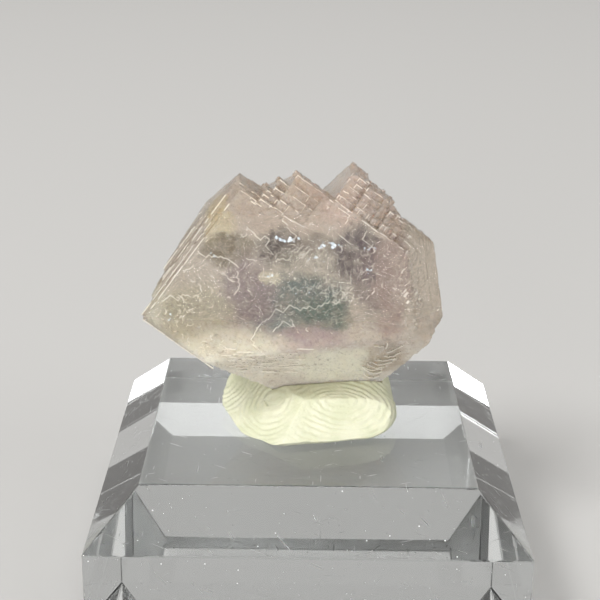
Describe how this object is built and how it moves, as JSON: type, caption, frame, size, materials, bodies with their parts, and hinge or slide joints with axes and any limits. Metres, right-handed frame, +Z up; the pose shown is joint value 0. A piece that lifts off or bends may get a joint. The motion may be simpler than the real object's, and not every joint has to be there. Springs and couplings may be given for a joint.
{
  "type": "mounted fluorite crystal",
  "caption": "Cloudy stepped fluorite crystal with cube-corner teeth and octahedral faces, held by a lump of white putty on a clear bevelled square display base.",
  "frame": {"origin": "middle of the display base's underside", "axes": "+Z up, +X to the right and +Y away from someone who faces the crystal's large cube face"},
  "size_m": [0.0382, 0.0382, 0.0378],
  "materials": {
    "fluorite": "cloudy, see-through, with striated and stepped faces",
    "putty": "matte, off-white, finger ridged",
    "acrylic": "polished and clear, lightly scratched"
  },
  "bodies": {
    "root": {"crystal": "fluorite", "putty": "putty", "display_base": "acrylic"}
  },
  "joints": []
}
